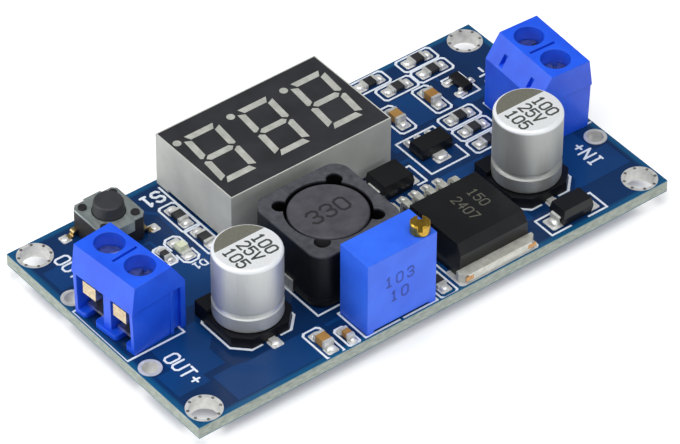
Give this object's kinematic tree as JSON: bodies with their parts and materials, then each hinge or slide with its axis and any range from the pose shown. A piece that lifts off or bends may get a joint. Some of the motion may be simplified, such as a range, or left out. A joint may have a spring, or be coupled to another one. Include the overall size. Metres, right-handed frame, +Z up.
{
  "type": "buck converter module",
  "caption": "Adjustable step-down converter board with screw terminals, trimmer, push switch and a small seven-segment voltmeter.",
  "frame": {"origin": "centre of the circuit board in plan, at the level of the soldered pin tips that the module stands on", "axes": "+X along the board towards the input terminals, +Y across the board towards the display side, +Z up from the component side"},
  "size_m": [0.066, 0.0356, 0.0145],
  "materials": {
    "board_laminate": "satin solder mask over glass-epoxy laminate",
    "tinned_copper": "hot-air-levelled tin",
    "board_print": "matte screen print",
    "solder": "bright reflowed solder",
    "block_plastic": "moulded nylon, light gloss",
    "cage_metal": "tinned steel sheet",
    "guard_metal": "nickel-flashed brass",
    "screw_steel": "zinc-plated steel",
    "capacitor_can": "drawn aluminium, clear lacquer",
    "capacitor_base": "moulded heat-proof resin",
    "lead_tin": "tin-plated lead",
    "ferrite_shield": "ground ferrite, matt",
    "ferrite_drum": "ground ferrite, matt",
    "coil_copper": "enamelled copper wire",
    "coil_base": "moulded base",
    "mould_compound": "matt moulding compound",
    "tab_metal": "tin-plated copper",
    "display_shell": "moulded pale grey",
    "display_film": "dark grey face",
    "display_bar": "unlit diffuser resin",
    "trimmer_shell": "moulded thermoset, light gloss",
    "trimmer_brass": "turned brass",
    "switch_plastic": "moulded nylon",
    "switch_steel": "stamped steel",
    "switch_cap": "moulded button",
    "dome_steel": "stainless spring steel",
    "switch_lead": "silver-plated brass, yellowed",
    "resistor_coat": "glass overcoat",
    "ceramic_block": "fired ceramic",
    "lamp_resin": "clear pale resin"
  },
  "bodies": {
    "board": {"circuit_board": "board_laminate", "hole_plating": "tinned_copper", "silkscreen": "board_print", "solder_joints": "solder", "output_block_housing": "block_plastic", "output_block_cages": "cage_metal", "input_block_housing": "block_plastic", "input_block_cages": "cage_metal", "output_capacitor_base": "capacitor_base", "output_capacitor_can": "capacitor_can", "output_capacitor_leads": "lead_tin", "input_capacitor_base": "capacitor_base", "input_capacitor_can": "capacitor_can", "input_capacitor_leads": "lead_tin", "inductor_base": "coil_base", "inductor_shield": "ferrite_shield", "inductor_drum": "ferrite_drum", "inductor_winding": "coil_copper", "inductor_terminals": "lead_tin", "regulator_body": "mould_compound", "regulator_leadframe": "tab_metal", "display_housing": "display_shell", "display_face": "display_film", "display_segments": "display_bar", "display_pins": "lead_tin", "driver_body": "mould_compound", "driver_leads": "lead_tin", "trimmer_housing": "trimmer_shell", "trimmer_pins": "lead_tin", "switch_base": "switch_plastic", "switch_cover": "switch_steel", "switch_dome": "dome_steel", "switch_leads": "switch_lead", "schottky_body": "mould_compound", "schottky_leads": "lead_tin", "input_diode_body": "mould_compound", "input_diode_leads": "lead_tin", "linear_regulator_body": "mould_compound", "linear_regulator_leads": "lead_tin", "transistor_body": "mould_compound", "transistor_leads": "lead_tin", "chip_resistor_bodies": "resistor_coat", "chip_resistor_ends": "lead_tin", "ceramic_capacitor_bodies": "ceramic_block", "ceramic_capacitor_ends": "lead_tin", "lamp_body": "lamp_resin", "lamp_ends": "lead_tin"},
    "output_plus_guard": {"output_plus_guard": "guard_metal"},
    "output_plus_screw": {"output_plus_screw": "screw_steel"},
    "output_minus_guard": {"output_minus_guard": "guard_metal"},
    "output_minus_screw": {"output_minus_screw": "screw_steel"},
    "input_plus_guard": {"input_plus_guard": "guard_metal"},
    "input_plus_screw": {"input_plus_screw": "screw_steel"},
    "input_minus_guard": {"input_minus_guard": "guard_metal"},
    "input_minus_screw": {"input_minus_screw": "screw_steel"},
    "trimmer_screw": {"trimmer_screw": "trimmer_brass"},
    "switch_button": {"switch_button": "switch_cap"}
  },
  "joints": [
    {"name": "output_plus_lift", "type": "slide", "parent": "board", "child": "output_plus_guard", "axis": [0, 0, 1], "range_m": [-0.00145, 0.00025]},
    {"name": "output_plus_turn", "type": "hinge", "parent": "output_plus_guard", "child": "output_plus_screw", "pos_m": [-0.02878, -0.00179, 0.0101], "axis": [0, 0, 1], "range_deg": [-1161, 201]},
    {"name": "output_minus_lift", "type": "slide", "parent": "board", "child": "output_minus_guard", "axis": [0, 0, 1], "range_m": [-0.00145, 0.00025]},
    {"name": "output_minus_turn", "type": "hinge", "parent": "output_minus_guard", "child": "output_minus_screw", "pos_m": [-0.02922, 0.00319, 0.0101], "axis": [0, 0, 1], "range_deg": [-1161, 201]},
    {"name": "input_plus_lift", "type": "slide", "parent": "board", "child": "input_plus_guard", "axis": [0, 0, 1], "range_m": [-0.00145, 0.00025]},
    {"name": "input_plus_turn", "type": "hinge", "parent": "input_plus_guard", "child": "input_plus_screw", "pos_m": [0.02902, -0.00238, 0.0101], "axis": [0, 0, 1], "range_deg": [-1161, 201]},
    {"name": "input_minus_lift", "type": "slide", "parent": "board", "child": "input_minus_guard", "axis": [0, 0, 1], "range_m": [-0.00145, 0.00025]},
    {"name": "input_minus_turn", "type": "hinge", "parent": "input_minus_guard", "child": "input_minus_screw", "pos_m": [0.02928, 0.00262, 0.0101], "axis": [0, 0, 1], "range_deg": [-1161, 201]},
    {"name": "trimmer_turn", "type": "hinge", "parent": "board", "child": "trimmer_screw", "pos_m": [-0.00169, -0.01616, 0.01313], "axis": [0, 0, 1], "continuous": true},
    {"name": "button_press", "type": "slide", "parent": "board", "child": "switch_button", "axis": [0, 0, -1], "range_m": [0, 0.00025], "stiffness_N_per_m": 4000, "springref_m": -0.00003, "deforming": ["switch_dome"]}
  ],
  "couplings": [
    {"joint": "output_plus_turn", "follows": "output_plus_lift", "rad_per_m": 13963},
    {"joint": "output_minus_turn", "follows": "output_minus_lift", "rad_per_m": 13963},
    {"joint": "input_plus_turn", "follows": "input_plus_lift", "rad_per_m": 13963},
    {"joint": "input_minus_turn", "follows": "input_minus_lift", "rad_per_m": 13963}
  ]
}
